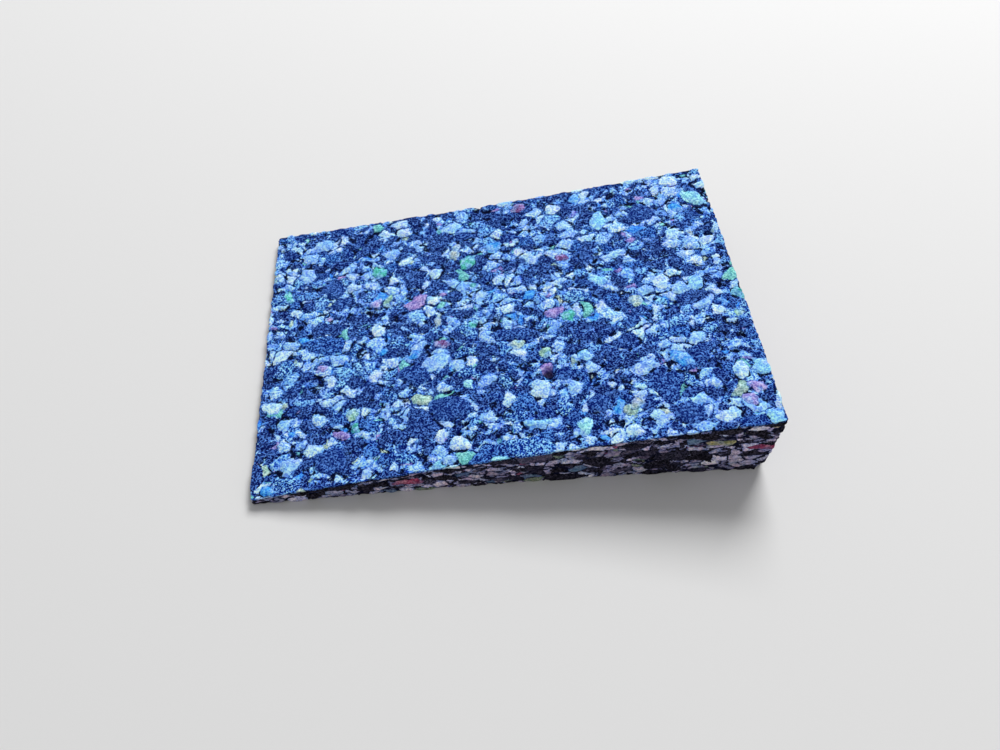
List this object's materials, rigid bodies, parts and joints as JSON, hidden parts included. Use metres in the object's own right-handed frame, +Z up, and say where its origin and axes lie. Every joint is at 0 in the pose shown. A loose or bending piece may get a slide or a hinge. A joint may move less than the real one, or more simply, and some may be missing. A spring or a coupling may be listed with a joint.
{
  "type": "foam wedge",
  "caption": "Wedge cut from rebonded chip foam, with a flat base, a sloping top and a blunt thin end, for propping, levelling or chocking.",
  "frame": {"origin": "centre of the base's bounding box, on the surface that the wedge rests on", "axes": "+X along the length from the thin end to the thick end, +Y across the slope, +Z up"},
  "size_m": [0.15, 0.107, 0.0257],
  "materials": {
    "chip_foam": "rebonded polyurethane foam chips: charcoal navy with pale blue-grey and a few coloured chips, matt, open cells and crevices"
  },
  "bodies": {
    "root": {"foam_wedge": "chip_foam"}
  },
  "joints": []
}
